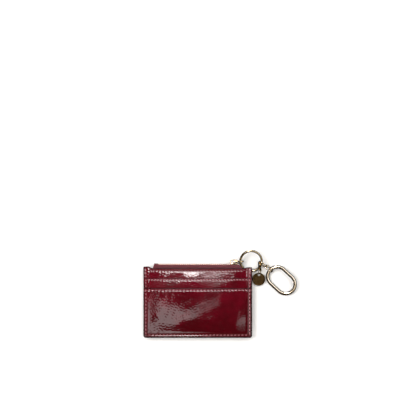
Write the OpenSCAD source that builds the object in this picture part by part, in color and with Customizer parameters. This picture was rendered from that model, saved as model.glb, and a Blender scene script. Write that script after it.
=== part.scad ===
// Small zipped card case with a key ring, two chain links, a disc charm and an oval spring clip.
// It lies on its back: +X to the viewer's right, +Y towards the zip, +Z away from the floor.

/* [Case] */
// Case width, side to side
case_w = 120; // [110:1:130]
// Height of the case's lower edge below the middle
case_low = 39.3; // [36:0.1:43]
// Height of the case's upper edge above the middle
case_top = 37.4; // [34:0.1:41]
// Radius of the lower corners
corner_r = 2.2; // [1:0.1:5]
// Height of the sewn edges over the floor
edge_lift = 4.5; // [3.5:0.1:6]
// Shell leather thickness
leather_t = 1.0; // [0.8:0.1:1.4]
// Leather of the upper slot panel
slot_leather_t = 0.7; // [0.5:0.1:1]
// Lining thickness
lining_t = 0.2; // [0.15:0.05:0.4]
// Gap left for one card in a slot
card_gap = 0.8; // [0.6:0.1:1.2]
// Gap of the zipped pocket in its middle
pocket_gap = 3.6; // [2:0.1:3.9]
// Upper edge of the upper slot panel
slot_1_y = 26.2; // [24:0.1:28]
// Upper edge of the lower slot panel
slot_2_y = 15.3; // [13:0.1:18]

/* [Stitching] */
// Stitch pitch of the outer edge
edge_pitch = 3.9; // [2.5:0.1:4.5]
// Stitch pitch of the seam under the zip
zip_seam_pitch = 3.4; // [2.5:0.1:4.5]
// Stitch pitch along the upper slot
upper_slot_pitch = 3.4; // [2.5:0.1:4.5]
// Stitch pitch along the lower slot
lower_slot_pitch = 3.8; // [2.5:0.1:4.5]
// Length of one stitch
stitch_len = 2.5; // [1.5:0.1:3]
// Thread radius
stitch_r = 0.28; // [0.2:0.02:0.4]
// Distance of the edge stitching from the edge
stitch_inset = 2.6; // [2:0.1:4]

/* [Zip] */
// Tooth pitch
tooth_pitch = 2.1; // [1.8:0.1:2.6]
// Height of the chain's middle over the case's middle
chain_y = 41.2; // [40:0.1:43]
// Tape thickness
tape_t = 0.4; // [0.3:0.05:0.6]
// Middle of the slider along the zip, closed
slider_x = 40.0; // [30:0.5:41]
// Slider length
slider_len = 9; // [8:0.5:11]

/* [Puller] */
// Distance of the pivot bar from the slider's middle
pivot_dx = 0.0; // [-1:0.1:1]
// Height of the pivot bar
pivot_y = 44.85; // [44.5:0.05:45.2]
// Pivot bar radius
pivot_r = 0.7; // [0.5:0.05:0.9]
// Puller width
puller_w = 8.8; // [7:0.1:10]
// Puller thickness
puller_t = 1.6; // [1.2:0.1:2]

/* [Key ring] */
// Radius of the ring's centre line
ring_r = 11.8; // [11:0.1:13]
// Ring wire radius
ring_wire = 1.25; // [1:0.05:1.5]
// Tilt of the ring out of the floor's plane
ring_tilt = 18.4; // [15:0.1:22]

/* [Clip] */
// Half length of the clip's straight sides
clip_half = 6.15; // [5:0.05:8]
// Radius of the clip's ends on the centre line
clip_r = 10.8; // [9:0.1:12]
// Clip wire radius
clip_wire = 1.9; // [1.6:0.05:2.2]
// Hinge angle of the gate round the clip's upper end
hinge_a = 139; // [130:1:145]

/* [Charm] */
// Disc radius
disc_r = 7.2; // [6:0.1:8]
// Disc thickness
disc_t = 1.2; // [1:0.1:1.6]

/* [Hidden] */
$fn = 48;
hw = case_w / 2;
z_back = edge_lift + leather_t;
z_mid = z_back + tape_t + lining_t + 0.15;
gx = [-hw, -hw + 1.9, -53, -50.5, -44, -34, -20, 0, 20, 34, 44, 50.5, 53, hw - 1.9, hw];
gy = [-case_low, -case_low + 1.9, -35, -27, -18, -6, 6, slot_2_y, 20, slot_1_y, 31, case_top];
nx = len(gx);
ring_c = [59.1, 45.2, ring_wire + ring_r * sin(ring_tilt)];
clip_at = [92.75, 23.84, 3.65];
clip_turn = [-42.79, -0.2, 9.15];
hinge_p = [-clip_half + clip_r * cos(hinge_a), clip_r * sin(hinge_a), 0];
gate_reach = 20.0;

// A smooth step from 0 to 1.
function soft(t) = let (u = max(0, min(1, t))) u * u * (3 - 2 * u);
// Weight of the flat middle: 0 on the sewn edges, 1 on the resting face.
function middle(x, y) = soft((hw - abs(x) - 7) / 18.5) * soft((31 - y) / 15.6)
    * soft((y + case_low - 4.3) / 17);
// 1 where the zip tapes lie between the layers.
function zipped(x, y) = (abs(x) < 51 && y > 30) ? 1 : 0;
// Room for a card, closed along the sewn edges.
function card(x, y) = soft((hw - abs(x) - 6) / 10) * soft((y + case_low - 4) / 12);
// Upper edge of the case: dips along the zip, rises at the corners.
function top_edge(x) = case_top + 0.9 * soft((abs(x) - 51) / 7) + (x < -55 ? 0.9 : 0);
// Outline point of a grid point, with the corners drawn in.
function plan(x, y) = let (
    r = corner_r,
    cx = abs(x) > hw - 0.1 && abs(y + case_low) < 0.1 ? 0.293 * r : 0,
    tx = abs(x) > hw - 0.1 && y > 31 ? 0.35 : 0
) [x - sign(x) * (cx + tx), (y > 31 ? top_edge(x) : y) + cx];

// Heights of the layers, from the floor up.
function back_u(x, y) = edge_lift * (1 - middle(x, y));
function back_lining_u(x, y) = back_u(x, y) + leather_t + tape_t * zipped(x, y);
function front_lining_u(x, y) = back_lining_u(x, y) + lining_t + 0.3 * zipped(x, y)
    + pocket_gap * middle(x, y);
function base_u(x, y) = front_lining_u(x, y) + lining_t + tape_t * zipped(x, y);
function slot_1_u(x, y) = base_u(x, y) + leather_t + card_gap * card(x, y);
function slot_2_u(x, y) = slot_1_u(x, y) + slot_leather_t + card_gap * card(x, y);

function height(layer, x, y) =
    layer == 0 ? back_u(x, y) :
    layer == 1 ? back_lining_u(x, y) :
    layer == 2 ? front_lining_u(x, y) :
    layer == 3 ? base_u(x, y) :
    layer == 4 ? slot_1_u(x, y) : slot_2_u(x, y);

// Height of a layer between its grid points, as its facets run.
function along(layer, x, y) = lookup(x, [for (g = gx) [g, height(layer, g, y)]]);
function level(layer, x, y) = let (
    j = max([for (k = [0 : len(gy) - 2]) y >= gy[k] ? k : 0]),
    t = (y - gy[j]) / (gy[j + 1] - gy[j])
) along(layer, x, gy[j]) * (1 - t) + along(layer, x, gy[j + 1]) * t;

// One sheet of the case, from the lower edge up to grid row `rows`.
module sheet(layer, t, rows) {
    n = nx * rows;
    low = [for (j = [0 : rows - 1]) for (i = [0 : nx - 1])
        let (p = plan(gx[i], gy[j])) [p[0], p[1], height(layer, gx[i], gy[j])]];
    high = [for (p = low) [p[0], p[1], p[2] + t]];
    cells = [for (j = [0 : rows - 2]) for (i = [0 : nx - 2]) j * nx + i];
    under = [for (c = cells) each [[c, c + 1, c + nx + 1], [c, c + nx + 1, c + nx]]];
    over = [for (f = under) [f[2] + n, f[1] + n, f[0] + n]];
    ring = concat(
        [for (i = [0 : nx - 2]) i],
        [for (j = [0 : rows - 2]) j * nx + nx - 1],
        [for (i = [nx - 1 : -1 : 1]) (rows - 1) * nx + i],
        [for (j = [rows - 1 : -1 : 1]) j * nx]
    );
    m = len(ring);
    wall = [for (k = [0 : m - 1]) let (a = ring[k], b = ring[(k + 1) % m])
        each [[a, a + n, b + n], [a, b + n, b]]];
    polyhedron(concat(low, high), concat(under, over, wall));
}

module back_panel() {
    color("#6e0016") sheet(0, leather_t, len(gy));
}

module back_lining() {
    color("#4a0a14") sheet(1, lining_t, len(gy));
}

module front_lining() {
    color("#4a0a14") sheet(2, lining_t, len(gy));
}

module front_base_panel() {
    color("#6e0016") sheet(3, leather_t, len(gy));
}

module upper_slot_panel() {
    color("#6e0016") sheet(4, slot_leather_t, 10);
}

module lower_slot_panel() {
    color("#6e0016") sheet(5, leather_t, 8);
}

// Cross section of one tape: distance up the case against distance from the zip's middle plane.
module tape_section(reach) {
    h = tape_t / 2;
    s = lining_t + 0.15 + h;
    c = chain_y;
    polygon([
        [31.6, s - h], [case_top + 0.25, s - h], [c - 2.6, 1.75], [c - 1.75, 2.45],
        [c - 1.15, 2.45], [c - 0.55, 2.0], [c - 0.2, 1.75], [c - 0.2, reach], [c + 0.2, reach],
        [c + 0.2, 1.75], [c - 0.05, 2.2], [c - 0.8, 2.85], [c - 2.0, 2.85], [c - 3.0, 2.15],
        [case_top + 0.1, s + h], [31.6, s + h]
    ]);
}

// Places a cross section, drawn as (up the case, away from the middle plane), along the zip.
module along_zip(x0, x1, side) {
    translate([x0, 0, z_mid]) scale([1, 1, side]) rotate([90, 0, 90]) linear_extrude(x1 - x0)
        children();
}

module tape(side) {
    intersection() {
        along_zip(-49.6, 49.4, side) tape_section(1.0);
        translate([0, 0, z_mid - 5]) linear_extrude(10) polygon([
            [-49.6, 30], [49.4, 30], [49.4, 38.0], [47.6, 38.5], [46.6, 39.6], [46.2, 42],
            [-47.1, 42], [-48.6, 41.1], [-49.4, 39.9], [-49.6, 38.6]
        ]);
    }
}

module zip_tape_back() {
    color("#6e2d37") tape(-1);
}

module zip_tape_front() {
    color("#6e2d37") tape(1);
}

// One side of the chain: separate teeth, each gripping the edge of its tape.
module teeth(side, first, count) {
    for (k = [0 : count - 1]) {
        x = first + k * tooth_pitch;
        along_zip(x - 0.47, x + 0.47, side) polygon([
            [chain_y - 0.8, -0.35], [chain_y + 0.7, -0.35], [chain_y + 0.8, 1.0],
            [chain_y + 0.7, 1.7], [chain_y + 0.22, 1.7], [chain_y + 0.22, 1.0],
            [chain_y - 0.22, 1.0], [chain_y - 0.22, 1.7], [chain_y - 0.7, 1.7],
            [chain_y - 0.8, 1.0]
        ]);
    }
}

module zip_teeth_back() {
    color("#c89a7a") teeth(-1, -43.2, 41);
}

module zip_teeth_front() {
    color("#c89a7a") teeth(1, -42.15, 40);
}

module zip_bottom_stop() {
    color("#3a2a22") translate([-45.6, chain_y - 1.0, z_mid - 1.7]) difference() {
        cube([1.6, 2.3, 3.4]);
        translate([-1, 0.78, -1]) cube([4, 0.44, 1.72]);
        translate([-1, 0.78, 2.68]) cube([4, 0.44, 1.72]);
    }
}

module top_stop(side) {
    along_zip(44.9, 45.9, side) difference() {
        translate([chain_y - 0.7, 0.7]) square([1.4, 1.0]);
        translate([chain_y - 0.22, 0.98]) square([0.44, 2]);
    }
}

module zip_top_stop_back() {
    color("#c8a36a") top_stop(-1);
}

module zip_top_stop_front() {
    color("#c8a36a") top_stop(1);
}

// One stitch lying on a face, tipped to the face's slope along its length.
module stitch(p, yaw, slope) {
    translate(p) rotate([0, 0, yaw]) rotate([0, 90 - slope, 0])
        cylinder(h = stitch_len, r = stitch_r, center = true, $fn = 16);
}

// A row of stitches from x0 to x1 at height y, on top of a layer.
module row(layer, t, y, x0, x1, pitch) {
    n = round((x1 - x0) / pitch);
    step = (x1 - x0) / n;
    for (k = [0 : n - 1]) {
        x = x0 + (k + 0.5) * step;
        a = level(layer, x - 1.2, y);
        b = level(layer, x + 1.2, y);
        z = max((a + b) / 2, level(layer, x, y)) + t + stitch_r + 0.08;
        stitch([x, y, z], 0, atan((b - a) / 2.4));
    }
}

module side_rows(layer, t, side, y0, y1, up) {
    n = round((y1 - y0) / edge_pitch);
    step = (y1 - y0) / n;
    for (k = [0 : n - 1]) {
        y = y0 + (k + 0.5) * step;
        x = side * (hw - stitch_inset);
        top = level(layer, x, y) + t + stitch_r + 0.04;
        stitch([x, y, up ? top : edge_lift - stitch_r - 0.04], 90, 0);
    }
}

module edge_thread() {
    y0 = -case_low + stitch_inset;
    low_w = case_w - 9.2;
    n = round(low_w / edge_pitch);
    color("#9a5560") union() {
        for (side = [-1, 1]) {
            side_rows(5, leather_t, side, y0, slot_2_y - 1, true);
            side_rows(4, slot_leather_t, side, slot_2_y + 0.6, slot_1_y - 1, true);
            side_rows(3, leather_t, side, slot_1_y + 0.6, 35.5, true);
            side_rows(0, 0, side, y0, 35.5, false);
        }
        for (k = [0 : n - 1]) {
            x = -low_w / 2 + (k + 0.5) * low_w / n;
            stitch([x, y0, level(5, x, y0) + leather_t + stitch_r + 0.04], 0, 0);
            stitch([x, y0, edge_lift - stitch_r - 0.04], 0, 0);
        }
    }
}

module zip_seam_thread() {
    half = 49.6;
    n = round(2 * half / zip_seam_pitch);
    color("#9a5560") union() {
        row(3, leather_t, 34.4, -half, half, zip_seam_pitch);
        for (k = [0 : n - 1]) {
            x = -half + (k + 0.5) * 2 * half / n;
            stitch([x, 34.4, edge_lift - stitch_r - 0.04], 0, 0);
        }
    }
}

module upper_slot_thread() {
    color("#9a5560") row(4, slot_leather_t, 24.6, -54.5, 54.5, upper_slot_pitch);
}

module lower_slot_thread() {
    color("#9a5560") row(5, leather_t, 13.1, -54.5, 54.5, lower_slot_pitch);
}

// Draws a flat outline in the plane the eye sees and gives it depth round the zip's middle.
module facing(depth) {
    translate([0, 0, z_mid - depth / 2]) linear_extrude(depth) children();
}

module slider_body() {
    l = slider_len / 2;
    c = chain_y;
    color("#d8b878") union() {
        translate([slider_x, 0, 0]) facing(6.8) translate([-l + 0.8, c + 0.9])
            square([2 * l - 1.6, 1.0]);
        translate([slider_x, 0, 0]) facing(5.2) translate([-l, c + 0.9]) square([2 * l, 1.0]);
        translate([slider_x, 0, 0]) facing(4.3) translate([-l, c - 2.0]) square([2 * l, 0.8]);
        for (side = [-1, 1]) {
            along_zip(slider_x - l + 0.8, slider_x + l - 0.8, side) translate([c + 0.35, 1.9])
                square([0.6, 1.5]);
            along_zip(slider_x - l + 0.4, slider_x + l - 0.4, side) translate([c - 1.3, 1.75])
                square([0.45, 0.4]);
        }
        translate([slider_x, 0, 0]) facing(1.6) translate([1.7, c - 1.3]) square([2.4, 2.3]);
        facing(2.2) difference() {
            union() {
                translate([slider_x - l, c + 1.8]) square([8, 2.7]);
                translate([slider_x - l + 1.2, c + 1.8]) square([5.6, 3.9]);
                translate([slider_x - l + 1.2, c + 4.5]) circle(1.2);
                translate([slider_x - l + 6.8, c + 4.5]) circle(1.2);
            }
            translate([slider_x - l + 1.1, c + 1.9]) square([5.8, 2.2]);
            translate([slider_x - l + 1.7, c + 2.5]) square([4.6, 2.2]);
            translate([slider_x - l + 1.7, c + 4.1]) circle(0.6);
            translate([slider_x - l + 6.3, c + 4.1]) circle(0.6);
        }
    }
}

// The puller hangs on its own pivot bar; its far end is a slot for the key ring.
module puller() {
    px = slider_x + pivot_dx;
    hole = ring_c[0] - ring_r;
    end_r = puller_w / 2;
    color("#d8b878") union() {
        translate([px, pivot_y, z_mid]) cylinder(h = puller_w, r = pivot_r, center = true);
        translate([0, pivot_y + puller_t / 2, z_mid]) rotate([90, 0, 0])
            linear_extrude(puller_t) difference() {
                union() {
                    translate([px, -end_r]) square([hole - px, puller_w]);
                    translate([hole, -end_r + 3.5]) square([3.5, puller_w - 7]);
                    translate([hole, end_r - 3.5]) circle(3.5);
                    translate([hole, -end_r + 3.5]) circle(3.5);
                }
                translate([px - 1, -1.7]) square([4.9, 3.4]);
                translate([hole, 0.9]) circle(2.5);
                translate([hole, -0.9]) circle(2.5);
                translate([hole - 2.5, -0.9]) square([5, 1.8]);
            }
    }
}

module key_ring() {
    color("#dcc694") translate(ring_c) rotate([0, 0, -2]) rotate([ring_tilt, 0, 0])
        rotate_extrude() translate([ring_r, 0]) circle(ring_wire);
}

// An oval link of round wire lying in its own XY plane, long way along X.
module oval(half, r, wire) {
    for (s = [-1, 1]) {
        translate([s * half, 0, 0]) rotate([0, 0, s * 90 - 180]) rotate_extrude(angle = 180)
            translate([r, 0]) circle(wire);
        translate([0, s * r, 0]) rotate([0, 90, 0])
            cylinder(h = 2 * half, r = wire, center = true);
    }
}

// Puts a piece at p, turned by yaw, then pitch, then roll.
module set_at(p, turn) {
    translate(p) rotate([0, 0, turn[0]]) rotate([0, turn[1], 0]) rotate([turn[2], 0, 0])
        children();
}

module chain_link_a() {
    color("#dcc694") set_at([72.42, 41.45, 4.31], [-40.78, 9.66, 70.95]) oval(2.2, 2.95, 0.7);
}

module chain_link_b() {
    color("#dcc694") set_at([78.7, 36.95, 3.64], [-38.35, 2.91, -58.59]) oval(1.7, 3.35, 0.7);
}

module charm_link() {
    color("#a8854a") set_at([68.52, 39.53, 5.3], [-85.46, 44.77, 73.99]) oval(2.6, 2.95, 0.6);
}

module charm_loop() {
    color("#a8854a") set_at([68.79, 33.54, 2.25], [-107.77, 6.42, -55.14]) oval(1.0, 1.75, 0.42);
}

module charm_disc() {
    color("#463214") set_at([67.64, 24.95, 1.88], [88.47, -0.4, -10]) difference() {
        translate([0, 0, -disc_t / 2]) cylinder(h = disc_t, r = disc_r);
        translate([disc_r - 2.1, 0, -disc_t]) cylinder(h = 2 * disc_t, r = 1.5);
    }
}

// The clip lies in its own XY plane, long way along X; the gate is on its +Y side.
module arc_wire(cx, a0, a1, wire) {
    translate([cx, 0, 0]) rotate([0, 0, a0]) rotate_extrude(angle = a1 - a0)
        translate([clip_r, 0]) circle(wire);
}

module side_wire(s, x0, x1) {
    translate([x0, s * clip_r, 0]) rotate([0, 90, 0]) cylinder(h = x1 - x0, r = clip_wire);
}

module at_hinge(r, h) {
    translate(hinge_p) cylinder(h = h, r = r, center = true);
}

// Block over the gate's side of the hinge.
module gate_side(reach) {
    translate(hinge_p) rotate([0, 0, hinge_a]) translate([-4, -reach, -4]) cube([8, reach, 8]);
}

module clip_body() {
    color("#e2cf9e") set_at(clip_at, clip_turn) difference() {
        union() {
            mirror([0, 1, 0]) arc_wire(-clip_half, 90, 374 - hinge_a, clip_wire);
            side_wire(-1, -clip_half, clip_half);
            arc_wire(clip_half, -90, 90, clip_wire);
            difference() {
                side_wire(1, 3.5, clip_half);
                at_hinge(gate_reach + 0.2, 8);
            }
        }
        difference() {
            gate_side(6);
            at_hinge(1.95, 8);
        }
        at_hinge(2.3, 1.7);
        at_hinge(0.7, 8);
    }
}

module clip_gate() {
    color("#e2cf9e") set_at(clip_at, clip_turn) difference() {
        union() {
            difference() {
                union() {
                    arc_wire(-clip_half, 90, hinge_a, clip_wire);
                    intersection() {
                        side_wire(1, -clip_half, clip_half);
                        at_hinge(gate_reach, 8);
                    }
                }
                for (s = [-1, 1]) translate([0, 0, s * (0.65 + 2)]) at_hinge(2.3, 4);
            }
            at_hinge(1.6, 1.3);
        }
        at_hinge(0.75, 8);
        translate([-clip_half + 0.6, clip_r - 3, -0.6]) cube([6.6, 2.4, 1.2]);
    }
}

module gate_pin() {
    color("#b09a66") set_at(clip_at, clip_turn) at_hinge(0.7, 3.4);
}

// Return spring in the slot on the gate's inner side.
module gate_spring() {
    color("#8c8c8c") set_at(clip_at, clip_turn)
        translate([-clip_half + 0.9, clip_r - 1.15, 0]) rotate([0, 90, 0])
            cylinder(h = 6, r = 0.45);
}

back_panel();
back_lining();
front_lining();
front_base_panel();
upper_slot_panel();
lower_slot_panel();
zip_tape_back();
zip_tape_front();
zip_teeth_back();
zip_teeth_front();
zip_bottom_stop();
zip_top_stop_back();
zip_top_stop_front();
edge_thread();
zip_seam_thread();
upper_slot_thread();
lower_slot_thread();
slider_body();
puller();
key_ring();
chain_link_a();
chain_link_b();
charm_link();
charm_loop();
charm_disc();
clip_body();
clip_gate();
gate_pin();
gate_spring();
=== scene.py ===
import math
import random

import bmesh
import bpy
import numpy as np
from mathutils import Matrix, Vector


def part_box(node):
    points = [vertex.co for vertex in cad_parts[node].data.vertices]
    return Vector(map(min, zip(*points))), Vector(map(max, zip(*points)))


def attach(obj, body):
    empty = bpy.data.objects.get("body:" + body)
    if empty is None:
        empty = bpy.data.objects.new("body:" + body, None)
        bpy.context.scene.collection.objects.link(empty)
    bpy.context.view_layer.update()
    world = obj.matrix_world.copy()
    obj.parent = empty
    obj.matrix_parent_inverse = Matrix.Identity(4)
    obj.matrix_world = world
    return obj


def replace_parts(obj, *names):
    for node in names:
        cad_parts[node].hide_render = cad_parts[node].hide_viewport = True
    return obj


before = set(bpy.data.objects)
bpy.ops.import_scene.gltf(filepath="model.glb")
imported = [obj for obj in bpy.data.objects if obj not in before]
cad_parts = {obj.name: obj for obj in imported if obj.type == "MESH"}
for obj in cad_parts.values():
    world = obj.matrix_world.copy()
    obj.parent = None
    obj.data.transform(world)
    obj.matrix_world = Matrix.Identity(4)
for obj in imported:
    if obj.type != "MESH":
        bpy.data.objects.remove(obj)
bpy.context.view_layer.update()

# The case lies on its back: x to the right, y towards the zip, z up. MM is a millimetre in metres
MM = 0.001
random.seed(7)

# ---------------------------------------------------------------- sizes, in millimetres
PANEL_LO, PANEL_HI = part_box("front_base_panel")
HALF_W = PANEL_HI[0] / MM
LOW = PANEL_LO[1] / MM
# The open edges of the two card slots
SLOT_1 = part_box("upper_slot_panel")[1][1] / MM
SLOT_2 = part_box("lower_slot_panel")[1][1] / MM
ZIP_LO, ZIP_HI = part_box("zip_teeth_back")
CHAIN_Y = (ZIP_LO[1] + ZIP_HI[1]) / 2 / MM
SLIDER_LO, SLIDER_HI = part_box("slider_body")
Z_MID = (SLIDER_LO[2] + SLIDER_HI[2]) / 2 / MM
# Height of the back panel's underside along the sewn edge, and of the front's outer face there
EDGE_LIFT = 4.5
FACE_Z = 8.6
TOP_Y = 37.4
LINING_TOP = TOP_Y - 0.6
CORNER_R = 2.4
SHELL_T = 1.0
# How far the upper slot panel and the base panel lie under the lower slot panel's face
UPPER_DROP = 0.92
BASE_DROP = 1.66
# Seams: distance in from the cut edge, places along y, and half lengths
EDGE_SEAM = 2.6
EDGE_SEAM_TOP = 36.6
LOWER_SEAM_Y = 13.1
UPPER_SEAM_Y = 24.6
ZIP_SEAM_Y = 34.9
ZIP_SEAM_BACK_Y = 34.4
SLOT_SEAM_HALF = 55.4
ZIP_SEAM_HALF = 53.2
# Stitch pitch of each seam, as the case's seams aren't sewn alike
EDGE_PITCH, ZIP_PITCH, UPPER_PITCH, LOWER_PITCH = 3.9, 3.4, 3.4, 3.8
# Share of the pitch that a stitch covers
STITCH_SHARE = 0.58
TOOTH_PITCH = 2.1


# ---------------------------------------------------------------- mesh helpers
def add_mesh(name, verts, faces, body, mats, indices=None, sharp=None):
    """A smooth shaded mesh from vertices in millimetres, which rides on body."""
    me = bpy.data.meshes.new(name)
    verts = np.asarray(verts, float) * MM
    me.from_pydata(verts.tolist(), [], faces)
    for m in mats:
        me.materials.append(m)
    if indices is not None:
        me.polygons.foreach_set("material_index", indices)
    me.polygons.foreach_set("use_smooth", [True] * len(me.polygons))
    if sharp is not None:
        me.set_sharp_from_angle(angle=math.radians(sharp))
    me.update()
    ob = bpy.data.objects.new(name, me)
    bpy.context.scene.collection.objects.link(ob)
    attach(ob, body)
    return ob


def soft(t):
    """0 below 0, 1 above 1, and a smooth step between."""
    u = np.clip(t, 0, 1)
    return u * u * (3 - 2 * u)


def bell(d, w):
    """1 where d is 0, falling off over the width w."""
    return np.exp(-(d / w) ** 2)


def tube(points, radius, sides):
    """Rings of a round bar along points, one radius for each, and the faces that close it."""
    p = np.asarray(points, float)
    n = len(p)
    t = np.gradient(p, axis=0)
    t /= np.linalg.norm(t, axis=1)[:, None]
    side = np.cross(t, np.array([0.0, 0.0, 1.0]))
    side /= np.linalg.norm(side, axis=1)[:, None]
    other = np.cross(side, t)
    a = np.linspace(0, 2 * np.pi, sides, endpoint=False)
    ring = (side[:, None, :] * np.cos(a)[None, :, None]
            + other[:, None, :] * np.sin(a)[None, :, None])
    v = p[:, None, :] + ring * radius[:, None, None]
    faces = []
    for i in range(n - 1):
        for s in range(sides):
            q = (s + 1) % sides
            faces.append((i * sides + s, i * sides + q, (i + 1) * sides + q, (i + 1) * sides + s))
    faces.append(tuple(range(sides - 1, -1, -1)))
    faces.append(tuple((n - 1) * sides + s for s in range(sides)))
    return v, faces


def grid_shell(n, m):
    """Faces of a closed shell of two layers, each a grid of n rows of m points."""
    i = (np.arange(n - 1)[:, None] * m + np.arange(m - 1)[None, :]).ravel()
    k = n * m
    first = np.stack([i, i + 1, i + m + 1, i + m], 1)
    second = np.stack([i + k, i + m + k, i + m + 1 + k, i + 1 + k], 1)
    rim = np.concatenate([np.arange(m - 1), np.arange(n - 1) * m + m - 1,
                          (n - 1) * m + np.arange(m - 1, 0, -1), np.arange(n - 1, 0, -1) * m])
    after = np.roll(rim, -1)
    wall = np.stack([rim, rim + k, after + k, after], 1)
    return first, second, wall


class Pile:
    """Collects many small solids for one mesh."""

    def __init__(self):
        self.v, self.f, self.n = [], [], 0

    def add(self, verts, faces):
        self.v.append(np.asarray(verts, float))
        self.f.extend([tuple(i + self.n for i in f) for f in faces])
        self.n += len(verts)

    def mesh(self, name, body, mats, **kw):
        return add_mesh(name, np.concatenate(self.v), self.f, body, mats, **kw)


# ---------------------------------------------------------------- materials
def new_material(name):
    """A material with its node tree and its Principled shader."""
    m = bpy.data.materials.new(name)
    m.use_nodes = True
    nt = m.node_tree
    return m, nt, nt.nodes["Principled BSDF"]


def node(nt, kind, x=0, y=0, **props):
    n = nt.nodes.new(kind)
    n.location = (x, y)
    for k, v in props.items():
        setattr(n, k, v)
    return n


def coords(nt, scale=(1, 1, 1), rotation=(0, 0, 0)):
    """Object coordinates in millimetres, times scale."""
    tc = node(nt, "ShaderNodeTexCoord", -1400)
    mp = node(nt, "ShaderNodeMapping", -1200)
    mp.inputs["Scale"].default_value = [1000 * s for s in scale]
    mp.inputs["Rotation"].default_value = rotation
    nt.links.new(tc.outputs["Object"], mp.inputs["Vector"])
    return mp.outputs["Vector"]


def noise(nt, vec, scale, detail=2.0, rough=0.5, distortion=0.0):
    n = node(nt, "ShaderNodeTexNoise", -900)
    n.inputs["Scale"].default_value = scale
    n.inputs["Detail"].default_value = detail
    n.inputs["Roughness"].default_value = rough
    n.inputs["Distortion"].default_value = distortion
    nt.links.new(vec, n.inputs["Vector"])
    return n.outputs["Fac"]


def ramp(nt, fac, stops, smooth=False):
    """Colours along fac; stops are pairs of a place and a colour."""
    n = node(nt, "ShaderNodeValToRGB", -500)
    if smooth:
        n.color_ramp.interpolation = "EASE"
    els = n.color_ramp.elements
    while len(els) < len(stops):
        els.new(0.5)
    for e, (pos, col) in zip(els, stops):
        e.position = pos
        e.color = (*col, 1)
    nt.links.new(fac, n.inputs["Fac"])
    return n.outputs["Color"]


def math_node(nt, op, a, b):
    """One sum or product; each side is a number or a socket."""
    n = node(nt, "ShaderNodeMath", -600, operation=op)
    for i, v in enumerate((a, b)):
        if isinstance(v, (int, float)):
            n.inputs[i].default_value = v
        else:
            nt.links.new(v, n.inputs[i])
    return n.outputs[0]


def bump(nt, height, distance, normal=None):
    """Fine relief whose full height is distance, in millimetres."""
    n = node(nt, "ShaderNodeBump", -300)
    n.inputs["Distance"].default_value = distance * MM
    n.inputs["Strength"].default_value = 1.0
    nt.links.new(height, n.inputs["Height"])
    if normal is not None:
        nt.links.new(normal, n.inputs["Normal"])
    return n.outputs["Normal"]


def grey(v):
    return (v, v, v)


def make_patent(name, dark, light, peel_height=0.008, gloss=1.0, gloss_rough=0.05):
    """Coated leather: a dull ground under a clear coat with slight orange peel."""
    m, nt, b = new_material(name)
    vec = coords(nt)
    painted_light_place = node(nt, "ShaderNodeSeparateXYZ", -900, 300)
    nt.links.new(vec, painted_light_place.inputs["Vector"])
    # Painted light: the ground grows lighter towards larger y, where more light falls; the rest
    # of its tone varies at random
    tone = math_node(nt, "ADD", noise(nt, vec, 0.07, 3, 0.55),
                     math_node(nt, "MULTIPLY", painted_light_place.outputs["Y"], 0.007))
    nt.links.new(ramp(nt, tone, [(0.3, dark), (0.72, light)]), b.inputs["Base Color"])
    b.inputs["Roughness"].default_value = 0.6
    b.inputs["Specular IOR Level"].default_value = 0.02
    b.inputs["Coat Weight"].default_value = gloss
    b.inputs["Coat Roughness"].default_value = gloss_rough
    b.inputs["Coat IOR"].default_value = 1.55
    peel = noise(nt, vec, 0.6, 0, 0.5, 0.2)
    waves = bump(nt, peel, peel_height)
    nt.links.new(waves, b.inputs["Coat Normal"])
    fine = noise(nt, vec, 2.4, 2, 0.5)
    nt.links.new(bump(nt, fine, 0.02, waves), b.inputs["Normal"])
    return m


def make_metal(name, base, dark, rough, wear=0.5):
    """Polished metal with fine scratches; wear is how much rougher they are."""
    m, nt, b = new_material(name)
    vec = coords(nt)
    tone = noise(nt, vec, 0.5, 3, 0.6)
    nt.links.new(ramp(nt, tone, [(0.28, dark), (0.6, base)]), b.inputs["Base Color"])
    b.inputs["Metallic"].default_value = 1.0
    scratch = noise(nt, coords(nt, (1, 7, 1), (0.2, 0.1, 0.7)), 1.5, 2, 0.6)
    dull = ramp(nt, scratch, [(0.3, grey(rough * 0.75)), (0.75, grey(rough * (1 + wear)))])
    nt.links.new(dull, b.inputs["Roughness"])
    nt.links.new(bump(nt, scratch, 0.004), b.inputs["Normal"])
    return m


# The wave texture's scale at which its bands are 0.66 mm apart
BAND_SCALE = 3.0 / 6.2832


def make_weave(name, dark, light, coarse, height=0.05):
    """Woven cloth with some fuzz; its two crossed sets of bands lie wider apart if coarse."""
    m, nt, b = new_material(name)
    vec = coords(nt)
    w1 = node(nt, "ShaderNodeTexWave", -900, wave_type="BANDS", bands_direction="X")
    w2 = node(nt, "ShaderNodeTexWave", -900, -300, wave_type="BANDS",
              bands_direction="DIAGONAL")
    for w, s in ((w1, 1.0), (w2, 1.7)):
        w.inputs["Scale"].default_value = BAND_SCALE * s / coarse
        w.inputs["Distortion"].default_value = 0.6
        nt.links.new(vec, w.inputs["Vector"])
    mix = math_node(nt, "MULTIPLY", w1.outputs["Fac"], w2.outputs["Fac"])
    fuzz = noise(nt, vec, 3.0, 2, 0.6)
    h = math_node(nt, "ADD", mix, math_node(nt, "MULTIPLY", fuzz, 0.5))
    nt.links.new(ramp(nt, h, [(0.15, dark), (0.9, light)]), b.inputs["Base Color"])
    b.inputs["Roughness"].default_value = 0.85
    b.inputs["Sheen Weight"].default_value = 0.3
    b.inputs["Sheen Roughness"].default_value = 0.4
    nt.links.new(bump(nt, h, height), b.inputs["Normal"])
    return m


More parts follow.
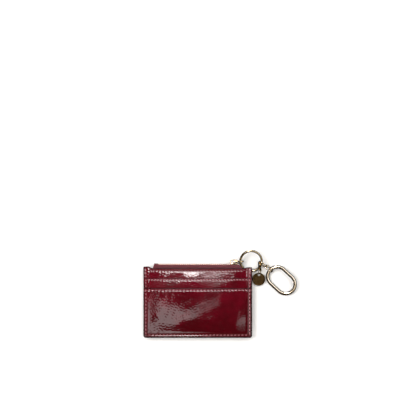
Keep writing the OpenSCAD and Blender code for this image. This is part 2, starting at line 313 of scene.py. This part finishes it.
def make_thread(name, dark, light):
    """Waxed thread with a little fuzz."""
    m, nt, b = new_material(name)
    fuzz = noise(nt, coords(nt), 2.2, 3, 0.6)
    nt.links.new(ramp(nt, fuzz, [(0.3, dark), (0.7, light)]), b.inputs["Base Color"])
    b.inputs["Roughness"].default_value = 0.45
    b.inputs["Sheen Weight"].default_value = 0.25
    nt.links.new(bump(nt, fuzz, 0.03), b.inputs["Normal"])
    return m


PATENT = make_patent("patent_burgundy", (0.047, 0.0001, 0.0020), (0.094, 0.0003, 0.0058))
EDGE = make_patent("edge_paint", (0.010, 0.0012, 0.0024), (0.024, 0.002, 0.005),
                   peel_height=0.0048, gloss=0.12, gloss_rough=0.4)
LINING = make_weave("lining_cloth", (0.05, 0.006, 0.012), (0.11, 0.016, 0.028), 0.5)
TAPE = make_weave("zip_tape_cloth", (0.070, 0.008, 0.014), (0.15, 0.026, 0.038), 0.7, 0.07)
GOLD = make_metal("pale_gold", (0.86, 0.78, 0.65), (0.68, 0.58, 0.44), 0.09)
SLIDER_GOLD = make_metal("slider_gold", (0.57, 0.455, 0.305), (0.36, 0.265, 0.15), 0.12)
RING = make_metal("ring_gold", (0.50, 0.42, 0.29), (0.30, 0.23, 0.13), 0.14)
ROSE = make_metal("rose_gold", (0.92, 0.70, 0.62), (0.62, 0.40, 0.32), 0.38)
# The rear row of teeth: the front row's rose gold painted darker, as painted shade behind the
# front row
ROSE_SHADED = make_metal("rose_gold_painted_shade", (0.52, 0.29, 0.20), (0.30, 0.15, 0.10), 0.35)
BRONZE = make_metal("dark_bronze", (0.034, 0.020, 0.007), (0.016, 0.009, 0.0035), 0.32, 0.8)
CHARM_GOLD = make_metal("aged_gold", (0.50, 0.32, 0.12), (0.24, 0.14, 0.05), 0.22)
STEEL = make_metal("spring_wire", (0.6, 0.6, 0.6), (0.35, 0.35, 0.36), 0.25)

THREAD = make_thread("waxed_thread", (0.30, 0.075, 0.10), (0.54, 0.19, 0.225))
# The zip seam's thread: a darker copy of the waxed thread above, painted shade for the seam's
# deep dip
SHADED_THREAD = make_thread("waxed_thread_painted_shade", (0.10, 0.010, 0.018), (0.20, 0.035, 0.05))


# ---------------------------------------------------------------- the case's shape
def middle(x, y):
    """1 over the flat middle of the case, falling to 0 at its sewn edges."""
    return (soft((HALF_W - np.abs(x) - 7) / 18.5) * soft((31 - y) / 15.6)
            * soft((y - LOW - 4.3) / 17))


def back_low(x, y):
    """Height of the back's underside: the middle rests, and the edges are lifted."""
    return EDGE_LIFT * (1 - middle(x, y))


def top_edge(x):
    """The top edge's y, a little higher at both corners."""
    return TOP_Y + 0.9 * soft((np.abs(x) - 50.5) / 5) + 0.9 * soft((-x - 50.5) / 4)


def stitch_dip(x, half, pitch):
    """1 at the middle of each stitch of a seam from -half to half, 0 between stitches."""
    count = round(2 * half / pitch)
    return (0.5 - 0.5 * np.cos(np.pi * (x + half) * count / half)) ** 1.4


# Direction, phase and length in millimetres of each wave of the grain
GRAIN = [(random.uniform(0, 2 * math.pi), random.uniform(0, 2 * math.pi),
          random.uniform(2.1, 3.8)) for _ in range(30)]


def grain(x, y, steep):
    """Fine pebbling of the coated leather; steep is its usual slope."""
    z = 0.0 * x
    for turn, phase, wave in GRAIN:
        k = 2 * math.pi / wave
        z = z + np.sin(k * (x * math.cos(turn) + 1.25 * y * math.sin(turn)) + phase) / k
    return z * steep * math.sqrt(2 / len(GRAIN))


def skin(x, y):
    """Height of the outermost front surface, before the slot panels' steps."""
    edge = np.minimum(HALF_W - np.abs(x), y - LOW)
    z = FACE_Z - 0.25 * soft((1.9 - edge) / 1.6)
    crown = soft((HALF_W - np.abs(x) - 2) / 20) * soft((y - LOW - 2) / 18)
    z = z + 0.40 * crown
    # Two slow waves, as the leather doesn't lie quite flat
    z = z + 0.025 * np.sin(0.21 * x + 0.13 * y + 0.6) * np.sin(0.17 * y - 0.08 * x + 1.1)
    z = z + 0.012 * np.sin(0.38 * x - 0.24 * y) * np.sin(0.31 * y + 0.16 * x + 2.0)
    z = z + grain(x, y, 0.011 + 0.008 * soft((-x - 5) / 30))
    # The groove that the edge seam is sewn in, and the swell inside it
    z = z - 0.32 * bell(edge - EDGE_SEAM, 0.9)
    z = z + 0.10 * bell(edge - 4.6, 1.2)
    return z


def lower_top(x, y):
    """Face of the lower slot panel, drawn in along its seam."""
    dips = stitch_dip(x, SLOT_SEAM_HALF, LOWER_PITCH)
    return skin(x, y) - 0.34 * bell(y - LOWER_SEAM_Y - 0.1, 0.95) * dips


def upper_top(x, y):
    """Face of the upper slot panel, drawn in along its seam."""
    dips = stitch_dip(x, SLOT_SEAM_HALF, UPPER_PITCH)
    return skin(x, y) - UPPER_DROP - 0.26 * bell(y - UPPER_SEAM_Y - 0.1, 0.9) * dips


def base_top(x, y):
    """Face of the base panel: drawn in along the zip's seam, and raised above it."""
    inner = soft((52 - np.abs(x)) / 3)
    dips = stitch_dip(x, ZIP_SEAM_HALF, ZIP_PITCH) * inner
    z = skin(x, y) - BASE_DROP - 0.55 * bell(y - ZIP_SEAM_Y, 1.15) * dips
    return z + 0.16 * bell(y - ZIP_SEAM_Y - 1.3, 1.0) * inner


def lines(a, b, step, fine_a=(), fine_b=()):
    """Grid lines from a to b, with a few close ones near either end."""
    inner = np.arange(a + step, b - step * 0.5, step)
    return np.unique(np.round(np.concatenate([[a], a + np.array(fine_a), inner,
                                              b - np.array(fine_b), [b]]), 5))


def corner_map(x, y):
    """Rounds the lower corners of the grid."""
    r = CORNER_R
    dx = np.clip(np.abs(x) - (HALF_W - r), 0, r) / r
    dy = np.clip((LOW + r) - y, 0, r) / r
    nx = dx * np.sqrt(1 - dy * dy / 2)
    ny = dy * np.sqrt(1 - dx * dx / 2)
    both = (dx > 0) & (dy > 0)
    x2 = np.where(both, np.sign(x) * (HALF_W - r + nx * r), x)
    y2 = np.where(both, LOW + r - ny * r, y)
    return x2, y2


def sheet(name, top, bottom, y_hi, step=0.5, mats=(PATENT, EDGE), lip=0.3, follow_top=False,
          seam=None, paint=0.75):
    """A closed thin sheet between two height functions, with a rounded upper lip.

    The grid is closer along seam. The walls, and a strip of width paint at the lip, take the
    second material."""
    xs = lines(-HALF_W + 0.05, HALF_W - 0.05, step, (0.3, 0.6), (0.3, 0.6))
    ys = lines(LOW + 0.05, y_hi, step, (0.3, 0.6), (0.08, 0.2, 0.4, 0.7))
    if seam is not None:
        near = np.arange(seam - 2.1, seam + 2.2, 0.21)
        ys = np.concatenate([ys[np.abs(ys - seam) > 2.2], near])
        ys = np.sort(ys[ys < y_hi + 1e-6])
    gx, gy = np.meshgrid(xs, ys)
    px, py = corner_map(gx, gy)
    if follow_top:
        t = soft((gy - 30) / (y_hi - 30))
        py = py + (top_edge(px) - TOP_Y) * t
    zt, zb = top(px, gy), bottom(px, gy)
    fall = y_hi - gy
    zt = zt - lip * (1 - np.sqrt(np.clip(1 - (1 - np.clip(fall / 0.55, 0, 1)) ** 2, 0, 1)))
    n, m = len(ys), len(xs)
    up = np.stack([px, py, zt], -1).reshape(-1, 3)
    dn = np.stack([px, py, zb], -1).reshape(-1, 3)
    verts = np.concatenate([up, dn])
    top_f, bot_f, wall = grid_shell(n, m)
    faces = np.concatenate([top_f, bot_f, wall])
    idx = np.zeros(len(faces), int)
    idx[:len(top_f)] = (gy[:-1, :-1] > y_hi - paint).ravel()
    idx[len(top_f) + len(bot_f):] = 1
    return add_mesh(name, verts, faces.tolist(), "case", mats, idx, sharp=55)


def under_skin(depth):
    """A surface that lies depth below the front's outermost face."""
    return lambda x, y: skin(x, y) - depth


def over_back(height):
    """A surface that lies height above the back's underside."""
    return lambda x, y: back_low(x, y) + height


# The layers of the case, each from its face to its underside
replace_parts(sheet("lower_slot_leather", lower_top, under_skin(0.90), SLOT_2,
                  seam=LOWER_SEAM_Y), "lower_slot_panel")
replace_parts(sheet("upper_slot_leather", upper_top, under_skin(1.62), SLOT_1,
                  seam=UPPER_SEAM_Y), "upper_slot_panel")
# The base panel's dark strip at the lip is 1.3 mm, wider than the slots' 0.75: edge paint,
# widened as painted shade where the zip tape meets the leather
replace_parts(sheet("front_base_leather", base_top, under_skin(2.62), TOP_Y,
                  follow_top=True, seam=ZIP_SEAM_Y - 0.5, paint=1.3), "front_base_panel")
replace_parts(sheet("back_leather", over_back(SHELL_T), back_low, TOP_Y,
                  follow_top=True, lip=0.0, step=1.0), "back_panel")
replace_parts(sheet("back_lining_cloth", over_back(SHELL_T + 0.22), over_back(SHELL_T + 0.02),
                  LINING_TOP, follow_top=True, lip=0.0, step=1.5,
                  mats=(LINING, LINING)), "back_lining")
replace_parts(sheet("front_lining_cloth", under_skin(2.64), under_skin(2.80),
                  LINING_TOP, follow_top=True, lip=0.0, step=1.5,
                  mats=(LINING, LINING)), "front_lining")


# ---------------------------------------------------------------- painted cut edge
def outline(inset):
    """Left top corner, down, round the bottom and up to the right top corner."""
    r = CORNER_R
    w = HALF_W
    pts = []
    for y in np.arange(top_edge(np.array(-w)) - 0.3, LOW + r, -1.0):
        pts.append((-w + inset, y))
    for a in np.linspace(math.pi, 1.5 * math.pi, 9):
        pts.append((-w + r + (r - inset) * math.cos(a), LOW + r + (r - inset) * math.sin(a)))
    for x in np.arange(-w + r + 1, w - r, 1.0):
        pts.append((x, LOW + inset))
    for a in np.linspace(1.5 * math.pi, 2 * math.pi, 9):
        pts.append((w - r + (r - inset) * math.cos(a), LOW + r + (r - inset) * math.sin(a)))
    for y in np.arange(LOW + r + 1, top_edge(np.array(w)) - 0.3, 1.0):
        pts.append((w - inset, y))
    return np.array(pts)


def edge_coat():
    """The paint over the cut edge: one bar with a flat-sided, rounded section."""
    mid = outline(0.60)
    mid[:, 1] -= 0.3 * soft((LOW + 4 - mid[:, 1]) / 4)
    n = len(mid)
    t = np.gradient(mid, axis=0)
    t /= np.linalg.norm(t, axis=1)[:, None]
    out = np.stack([t[:, 1], -t[:, 0]], 1)
    x, y = mid[:, 0], mid[:, 1]
    drop = np.where(y < SLOT_2, 0.0, np.where(y < SLOT_1, UPPER_DROP, BASE_DROP))
    top = skin(x, y) - drop + 0.10
    # The steps between the panels are evened out over nine points
    pad = np.concatenate([[top[0]] * 4, top, [top[-1]] * 4])
    top = np.convolve(pad, np.ones(9) / 9, "valid")
    low = EDGE_LIFT - 0.06
    half = 0.86
    prof = []
    for a in np.linspace(0, 2 * math.pi, 28, endpoint=False):
        c, s = math.cos(a), math.sin(a)
        prof.append((math.copysign(abs(c) ** 0.45, c), math.copysign(abs(s) ** 0.6, s)))
    prof = np.array(prof)
    v = np.zeros((n, len(prof), 3))
    v[:, :, 0] = x[:, None] + out[:, None, 0] * prof[None, :, 0] * half
    v[:, :, 1] = y[:, None] + out[:, None, 1] * prof[None, :, 0] * half
    v[:, :, 2] = ((top + low) / 2)[:, None] + ((top - low) / 2)[:, None] * prof[None, :, 1]
    s = len(prof)
    f = [(i * s + j, (i + 1) * s + j, (i + 1) * s + (j + 1) % s, i * s + (j + 1) % s)
         for i in range(n - 1) for j in range(s)]
    f.append(tuple(range(s)))
    f.append(tuple((n - 1) * s + j for j in range(s - 1, -1, -1)))
    add_mesh("edge_paint_bead", v.reshape(-1, 3), f, "case", [EDGE], sharp=50)


edge_coat()


# ---------------------------------------------------------------- stitches
def stitch(pile, a, b, rise):
    """One twisted stitch from hole to hole, arched over the leather."""
    n, sides = 13, 10
    thread_r = 0.38
    a, b = np.array(a, float), np.array(b, float)
    s = np.linspace(0, 1, n)
    p = a[None] * (1 - s)[:, None] + b[None] * s[:, None]
    p[:, 2] += rise * (np.sin(np.pi * s) ** 0.6) - 0.16
    rad = thread_r * (0.55 + 0.45 * np.sin(np.pi * np.clip(s, 0.02, 0.98)) ** 0.5)
    v, f = tube(p, rad, sides)
    ang = np.linspace(0, 2 * np.pi, sides, endpoint=False)
    twist = 1 + 0.16 * np.cos(2 * ang[None, :] + 9.0 * s[:, None])
    v = p[:, None, :] + (v - p[:, None, :]) * twist[:, :, None]
    pile.add(v.reshape(-1, 3), f)


def seam_x(pile, top, y, half, pitch, under=False):
    """A row of stitches along x from -half to half, on the surface top."""
    n = round(2 * half / pitch)
    step = 2 * half / n
    reach = STITCH_SHARE * step / 2
    lift, rise = (-0.05, -0.28) if under else (0.12, 0.30)
    for k in range(n):
        x = -half + (k + 0.5) * step + random.uniform(-0.06, 0.06)
        yy = y + random.uniform(-0.05, 0.05)
        tilt = random.uniform(-0.06, 0.10)
        if under:
            tilt = 0.0
        za = float(top(np.array(x - reach), np.array(yy)))
        zb = float(top(np.array(x + reach), np.array(yy)))
        stitch(pile, (x - reach, yy - tilt, za + lift), (x + reach, yy + tilt, zb + lift), rise)


def seam_y(pile, top, x, y0, y1, pitch, under=False):
    """A row of stitches along y from y0 to y1, on the surface top."""
    n = round((y1 - y0) / pitch)
    step = (y1 - y0) / n
    reach = STITCH_SHARE * step / 2
    lift, rise = (-0.05, -0.28) if under else (0.12, 0.28)
    for k in range(n):
        y = y0 + (k + 0.5) * step + random.uniform(-0.06, 0.06)
        za = float(top(np.array(x), np.array(y - reach)))
        zb = float(top(np.array(x), np.array(y + reach)))
        stitch(pile, (x, y - reach, za + lift), (x, y + reach, zb + lift), rise)


edge_pile = Pile()
EDGE_X, EDGE_Y = HALF_W - EDGE_SEAM, LOW + EDGE_SEAM
BOTTOM_HALF = HALF_W - 4.6
for side in (-1, 1):
    seam_y(edge_pile, lower_top, side * EDGE_X, EDGE_Y, SLOT_2 - 0.8, EDGE_PITCH)
    seam_y(edge_pile, upper_top, side * EDGE_X, SLOT_2 + 0.4, SLOT_1 - 0.6, EDGE_PITCH)
    seam_y(edge_pile, base_top, side * EDGE_X, SLOT_1 + 0.4, EDGE_SEAM_TOP, EDGE_PITCH)
    seam_y(edge_pile, back_low, side * EDGE_X, EDGE_Y, EDGE_SEAM_TOP, EDGE_PITCH, under=True)
seam_x(edge_pile, lower_top, EDGE_Y, BOTTOM_HALF, EDGE_PITCH)
seam_x(edge_pile, back_low, EDGE_Y, BOTTOM_HALF, EDGE_PITCH, under=True)
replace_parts(edge_pile.mesh("edge_stitches", "case", [THREAD]), "edge_thread")

zip_pile = Pile()
seam_x(zip_pile, base_top, ZIP_SEAM_Y, ZIP_SEAM_HALF, ZIP_PITCH)
seam_x(zip_pile, back_low, ZIP_SEAM_BACK_Y, ZIP_SEAM_HALF, ZIP_PITCH, under=True)
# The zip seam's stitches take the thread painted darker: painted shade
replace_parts(zip_pile.mesh("zip_seam_stitches", "case", [SHADED_THREAD]), "zip_seam_thread")

upper_pile = Pile()
seam_x(upper_pile, upper_top, UPPER_SEAM_Y, SLOT_SEAM_HALF, UPPER_PITCH)
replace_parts(upper_pile.mesh("upper_slot_stitches", "case", [THREAD]), "upper_slot_thread")

lower_pile = Pile()
seam_x(lower_pile, lower_top, LOWER_SEAM_Y, SLOT_SEAM_HALF, LOWER_PITCH)
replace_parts(lower_pile.mesh("lower_slot_stitches", "case", [THREAD]), "lower_slot_thread")


# ---------------------------------------------------------------- zip tapes
def tape(name, side, node_name):
    """A woven band, bent in a smooth hook from under the leather to the teeth."""
    c = CHAIN_Y
    # The hook's section: y, and distance from the zip's middle plane
    path = np.array([(31.8, 0.55), (34.5, 0.55), (37.0, 0.56), (37.7, 0.75), (38.2, 1.4),
                     (38.7, 2.05), (39.3, 2.52), (39.9, 2.66), (40.4, 2.5), (c - 0.35, 2.15),
                     (c - 0.08, 1.9), (c, 1.6), (c, 1.0)])
    d = np.concatenate([[0], np.cumsum(np.linalg.norm(np.diff(path, axis=0), axis=1))])
    s = np.linspace(0, d[-1], 44)
    u = np.interp(s, d, path[:, 0])
    w = np.interp(s, d, path[:, 1])
    for _ in range(2):
        u[1:-1] = (u[:-2] + 2 * u[1:-1] + u[2:]) / 4
        w[1:-1] = (w[:-2] + 2 * w[1:-1] + w[2:]) / 4
    tu, tw = np.gradient(u), np.gradient(w)
    ln = np.hypot(tu, tw)
    nu, nw = -tw / ln, tu / ln
    xs = lines(-49.6, 49.4, 0.8, (0.15, 0.4), (0.15, 0.4))
    # Both ends lean inwards above the leather, and the left one is folded up
    lean = np.where(xs > 0, 3.1 * soft((xs - 30) / 19), -1.2 * soft((-xs - 36) / 13))
    fold = 1.2 * soft((-xs - 44.2) / 1.2)
    m, n = len(xs), len(s)
    half_t = 0.2
    layers = []
    for k in (half_t, -half_t):
        uu = np.repeat((u + nu * k)[:, None], m, 1)
        ww = np.repeat((w + nw * k)[:, None], m, 1)
        over = soft((uu - 37.4) / 3.4)
        ripple = 0.05 * np.sin(xs * 2 * np.pi / 7.3 + side) * over
        layers.append(np.stack([xs[None, :] - lean[None, :] * over, uu + fold[None, :] * over,
                                Z_MID + side * (ww + ripple)], -1).reshape(-1, 3))
    # Turned over for the rear tape, with the same first corner
    faces = np.roll(np.concatenate(grid_shell(n, m))[:, ::-1], 1, axis=1)
    if side > 0:
        faces = faces[:, ::-1]
    ob = add_mesh(name, np.concatenate(layers), faces.tolist(), "case", [TAPE], sharp=60)
    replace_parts(ob, node_name)


tape("zip_tape_rear", -1, "zip_tape_back")
tape("zip_tape_fore", 1, "zip_tape_front")


# ---------------------------------------------------------------- zip teeth
def tooth(pile, x, side, tall):
    """One tooth: rounded body, nose that meets the other row, jaws over the tape."""
    # The section: y, and height on the tooth's own side of the middle plane
    sec = [(-0.78, -0.32), (0.68, -0.32), (0.80, 0.2), (0.80, 1.2), (0.66, 1.72), (0.26, 1.72),
           (0.22, 1.05), (-0.22, 1.05), (-0.26, 1.72), (-0.66, 1.72), (-0.80, 1.2),
           (-0.80, 0.2)]
    half_w = 0.46
    bm = bmesh.new()
    vs = [[bm.verts.new((x + dx, CHAIN_Y + u * (tall if u > 0.5 else 1), Z_MID + side * w))
           for u, w in sec]
          for dx in (-half_w, half_w)]
    bm.faces.new(vs[0])
    bm.faces.new(vs[1][::-1])
    for i in range(len(sec)):
        j = (i + 1) % len(sec)
        bm.faces.new((vs[0][i], vs[1][i], vs[1][j], vs[0][j]))
    bmesh.ops.recalc_face_normals(bm, faces=bm.faces)
    bmesh.ops.bevel(bm, geom=bm.edges, offset=0.11, segments=2, affect="EDGES", profile=0.6)
    bm.verts.index_update()
    pile.add([v.co[:] for v in bm.verts], [tuple(v.index for v in f.verts) for f in bm.faces])
    bm.free()


FIRST_TOOTH = -43.2
# The rear row takes the rose gold painted darker: painted shade
for side, first, count, tall, metal, name, node_name in (
        (-1, FIRST_TOOTH, 41, 1.0, ROSE_SHADED, "teeth_row_rear", "zip_teeth_back"),
        (1, FIRST_TOOTH + TOOTH_PITCH / 2, 40, 1.1, ROSE, "teeth_row_fore", "zip_teeth_front")):
    pile = Pile()
    for k in range(count):
        tooth(pile, first + TOOTH_PITCH * k, side, tall)
    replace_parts(pile.mesh(name, "case", [metal], sharp=40), node_name)


# ---------------------------------------------------------------- bevelled copies of hard parts
def bevelled(name, node_name, body, material, width):
    """A copy of a CAD solid with its sharp edges rounded over width, in millimetres."""
    src = bpy.data.objects[node_name]
    bm = bmesh.new()
    bm.from_mesh(src.data)
    bmesh.ops.remove_doubles(bm, verts=bm.verts, dist=1e-6)
    bmesh.ops.dissolve_limit(bm, angle_limit=math.radians(1.0), verts=bm.verts, edges=bm.edges)
    edges = [e for e in bm.edges if len(e.link_faces) == 2 and e.calc_face_angle(0) > 0.6]
    bmesh.ops.bevel(bm, geom=edges, offset=width * MM, segments=3, affect="EDGES",
                    profile=0.5, clamp_overlap=True)
    me = bpy.data.meshes.new(name)
    bm.to_mesh(me)
    bm.free()
    me.materials.append(material)
    me.polygons.foreach_set("use_smooth", [True] * len(me.polygons))
    me.set_sharp_from_angle(angle=math.radians(35))
    ob = bpy.data.objects.new(name, me)
    bpy.context.scene.collection.objects.link(ob)
    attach(ob, body)
    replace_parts(ob, node_name)


bevelled("slider_shell", "slider_body", "slider", SLIDER_GOLD, 0.22)
bevelled("puller_plate", "puller", "puller", SLIDER_GOLD, 0.3)
bevelled("bottom_stop", "zip_bottom_stop", "case", BRONZE, 0.15)
bevelled("top_stop_rear", "zip_top_stop_back", "case", ROSE, 0.12)
bevelled("top_stop_fore", "zip_top_stop_front", "case", ROSE, 0.12)


def disc():
    """The charm: a flat disc with a raised rim, an engraved ring and a drilled hole."""
    src = bpy.data.objects["charm_disc"]
    p = np.array([v.co[:] for v in src.data.vertices]) / MM
    mid = (p.max(0) + p.min(0)) / 2
    # The disc's own plane and centre, worked out from its rim
    for _ in range(3):
        axes = np.linalg.svd(p - mid, full_matrices=False)[2]
        flat = (p - mid) @ axes[:2].T
        far = np.linalg.norm(flat, axis=1)
        rim = flat[far > far.max() - 0.3]
        mid = mid + ((rim.max(0) + rim.min(0)) / 2) @ axes[:2]
    flat = (p - mid) @ axes[:2].T
    far = np.linalg.norm(flat, axis=1)
    radius = far.max()
    thick = np.ptp((p - mid) @ axes[2])
    hole = flat[far < radius - 0.4]
    hole_c = (hole.max(0) + hole.min(0)) / 2
    hole_r = np.linalg.norm(hole - hole_c, axis=1).min()
    t = np.concatenate([[0, 0.004, 0.012, 0.025], np.linspace(0.05, 0.95, 60),
                        [0.975, 0.988, 0.996, 1]])
    a = np.linspace(0, 2 * np.pi, 144, endpoint=False)
    ring = np.stack([np.cos(a), np.sin(a)], 1)
    rim_w, rim_h = 0.95, 0.10
    groove_h = 0.09
    round_r = 0.16
    loops = []
    for side in (1, -1):
        for k in (t if side > 0 else t[::-1]):
            xy = hole_c * (1 - k) + ring * (hole_r + (radius - hole_r) * k)
            r = np.linalg.norm(xy, axis=1)
            z = thick / 2 - rim_h + rim_h * soft((r - radius + rim_w) / 0.25)
            z = z - groove_h * bell(r - radius * 0.70, 0.22)
            gap = min(k, 1 - k) * (radius - hole_r)
            z = z - round_r * (1 - math.sqrt(1 - (1 - min(gap / round_r, 1)) ** 2))
            loops.append(mid + xy @ axes[:2] + (side * z)[:, None] * axes[2])
    n, m = len(loops), len(a)
    f = [(i * m + j, i * m + (j + 1) % m, (i + 1) % n * m + (j + 1) % m, (i + 1) % n * m + j)
         for i in range(n) for j in range(m)]
    if np.linalg.det(axes) < 0:
        f = [q[::-1] for q in f]
    ob = add_mesh("disc_plate", np.concatenate(loops), f, "charm_disc", [BRONZE], sharp=50)
    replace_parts(ob, "charm_disc")


disc()


def dress(node_name, material):
    """Gives its metal to a CAD solid that shows as it is."""
    ob = bpy.data.objects[node_name]
    for s in ob.material_slots:
        s.material = material


dress("key_ring", RING)
for n in ("chain_link_a", "chain_link_b", "clip_body", "clip_gate", "gate_pin"):
    dress(n, GOLD)
for n in ("charm_link", "charm_loop"):
    dress(n, CHARM_GOLD)
dress("gate_spring", STEEL)


# ---------------------------------------------------------------- floor, light, camera
def floor():
    """The white paper that the case lies on, 6 m square."""
    m, nt, b = new_material("paper_floor")
    vec = coords(nt)
    f = noise(nt, vec, 0.02, 2)
    nt.links.new(ramp(nt, f, [(0.3, grey(0.95)), (0.7, grey(0.97))]), b.inputs["Base Color"])
    b.inputs["Roughness"].default_value = 0.95
    b.inputs["Specular IOR Level"].default_value = 0.1
    me = bpy.data.meshes.new("floor")
    half = 3.0
    me.from_pydata([(-half, -half, 0), (half, -half, 0), (half, half, 0), (-half, half, 0)], [],
                   [(0, 1, 2, 3)])
    me.materials.append(m)
    ob = bpy.data.objects.new("floor", me)
    ob.visible_glossy = False
    bpy.context.scene.collection.objects.link(ob)


floor()


def softbox(name, polar, azimuth, size, radiance):
    """A rectangular light that faces the object; angles in degrees, size in metres."""
    distance = 2.6
    li = bpy.data.lights.new(name, "AREA")
    li.shape = "RECTANGLE"
    li.size, li.size_y = size
    li.energy = radiance * math.pi * size[0] * size[1]
    ob = bpy.data.objects.new(name, li)
    p, a = math.radians(polar), math.radians(azimuth)
    d = Vector((math.sin(p) * math.cos(a), math.sin(p) * math.sin(a), math.cos(p)))
    ob.location = d * distance
    ob.rotation_euler = (-d).to_track_quat("-Z", "Y").to_euler()
    ob.visible_glossy = False
    bpy.context.scene.collection.objects.link(ob)


# The lens, the height of the face it looks at, and the width it sees there, in millimetres
CAM = Vector((2.5, 112.9, 2500.0))
SUBJECT_Z = 9.0
SEEN_W = 442.8
CARD_Z = 350.0


def card(name, points, radiance, fade=None):
    """A cut reflector card over the case; points are where its mirror image falls, in mm.

    fade is where along the card's own x it starts and stops dimming, and the share left."""
    k = CARD_Z / (CAM.z - SUBJECT_Z)
    v = [((x + (x - CAM.x) * k) * MM, (y + (y - CAM.y) * k) * MM, CARD_Z * MM)
         for x, y in points]
    me = bpy.data.meshes.new(name)
    me.from_pydata(v, [], [tuple(range(len(v)))])
    m = bpy.data.materials.new(name)
    m.use_nodes = True
    nt = m.node_tree
    nt.nodes.clear()
    out = node(nt, "ShaderNodeOutputMaterial")
    em = node(nt, "ShaderNodeEmission", -200)
    em.inputs["Color"].default_value = (1.0, 0.95, 0.95, 1)
    em.inputs["Strength"].default_value = radiance
    if fade is not None:
        vec = coords(nt)
        sep = node(nt, "ShaderNodeSeparateXYZ", -700)
        nt.links.new(vec, sep.inputs["Vector"])
        mr = node(nt, "ShaderNodeMapRange", -500, interpolation_type="SMOOTHSTEP")
        mr.inputs["From Min"].default_value = fade[0]
        mr.inputs["From Max"].default_value = fade[1]
        mr.inputs["To Min"].default_value = radiance
        mr.inputs["To Max"].default_value = radiance * fade[2]
        nt.links.new(sep.outputs["X"], mr.inputs["Value"])
        nt.links.new(mr.outputs["Result"], em.inputs["Strength"])
    nt.links.new(em.outputs["Emission"], out.inputs["Surface"])
    me.materials.append(m)
    ob = bpy.data.objects.new(name, me)
    ob.visible_camera = False
    ob.visible_diffuse = False
    ob.visible_shadow = False
    bpy.context.scene.collection.objects.link(ob)


def tent():
    """A light tent: pale walls, an opening overhead for the lens, and a dark skirt below."""
    world = bpy.data.worlds.new("studio")
    world.use_nodes = True
    nt = world.node_tree
    bg = nt.nodes["Background"]
    tc = node(nt, "ShaderNodeTexCoord", -900)
    sep = node(nt, "ShaderNodeSeparateXYZ", -700)
    nt.links.new(tc.outputs["Generated"], sep.inputs["Vector"])
    walls = ramp(nt, sep.outputs["Z"], [(0.0, grey(0.004)), (0.54, grey(0.01)),
                                        (0.64, grey(1.0)), (0.86, grey(1.0)),
                                        (0.94, grey(0.2)), (0.975, grey(0.02))], True)
    side = math_node(nt, "MULTIPLY", sep.outputs["X"], 0.40)
    side = math_node(nt, "ADD", side, math_node(nt, "MULTIPLY", sep.outputs["Y"], 0.40))
    warm = ramp(nt, math_node(nt, "ADD", side, 0.5),
                [(0.18, (0.05, 0.035, 0.02)), (0.5, (0.34, 0.28, 0.20)), (0.82, grey(1.0))],
                True)
    mix = node(nt, "ShaderNodeMix", -300, data_type="RGBA", blend_type="MULTIPLY")
    mix.inputs["Factor"].default_value = 1.0
    nt.links.new(walls, mix.inputs[6])
    nt.links.new(warm, mix.inputs[7])
    nt.links.new(mix.outputs[2], bg.inputs["Color"])
    bg.inputs["Strength"].default_value = 2.6
    bpy.context.scene.world = world


tent()

softbox("key", 38, 166, (1.8, 1.8), 5.4)
softbox("fill_right", 64, -8, (1.2, 2.2), 0.2)
softbox("fill_low", 62, -95, (2.2, 1.2), 3.4)
softbox("fill_top", 60, 80, (2.2, 1.2), 0.8)
softbox("fill_left", 68, 190, (1.6, 1.2), 1.2)

# The highlights on the leather, drawn to suit the photo's one view
card("card_wedge", [(-78, 3), (-44, 1), (-28, -4), (-12, -9), (-1, -6), (12, 4), (28, 8),
                    (24, 1.5), (4, -13), (-8, -22), (-22, -27), (-19, -36), (-26, -46),
                    (-82, -46), (-82, -36), (-64, -26), (-62, -8)], 2.9, fade=(-28, 36, 0.3))
card("card_strip_hot", [(-50, 90), (8, 90), (8, 36), (-2, 34), (-22, 35.5), (-50, 40)], 13.0)
card("card_strip_spot", [(-20, 60), (-1, 60), (-1, 31), (-14, 31)], 45.0)
card("card_strip", [(8, 38), (30, 37), (46, 34), (40, 31), (24, 29.5), (8, 30)], 10.0)
card("card_slot_left", [(-70, 23), (-30, 24), (-14, 21), (-28, 18), (-70, 20)], 1.0)
card("card_slot_mid", [(0, 27), (33, 26), (22, 21), (10, 17), (2, 20)], 1.6)
card("card_corner", [(64, -16), (90, -8), (90, -84), (55, -84), (57, -46)], 1.8)
# What the ring and the clip mirror, and the light along the zip's seam
card("card_metal", [(92, -30), (170, -30), (170, 90), (92, 90)], 1.1)
card("card_seam", [(-32, 135), (10, 135), (14, 330), (-36, 330)], 38.0)
card("card_seam_left", [(-60, 135), (-32, 135), (-36, 330), (-66, 330)], 13.0)
card("card_seam_right", [(10, 135), (56, 135), (62, 330), (14, 330)], 12.0)

cam_data = bpy.data.cameras.new("camera")
cam = bpy.data.objects.new("camera", cam_data)
bpy.context.scene.collection.objects.link(cam)
cam.location = CAM * MM
cam.rotation_euler = (0, 0, 0)
cam_data.sensor_width = 36
cam_data.lens = cam_data.sensor_width * (CAM.z - SUBJECT_Z) / SEEN_W
cam_data.clip_end = 20
bpy.context.scene.camera = cam
bpy.context.scene.view_settings.view_transform = "Standard"
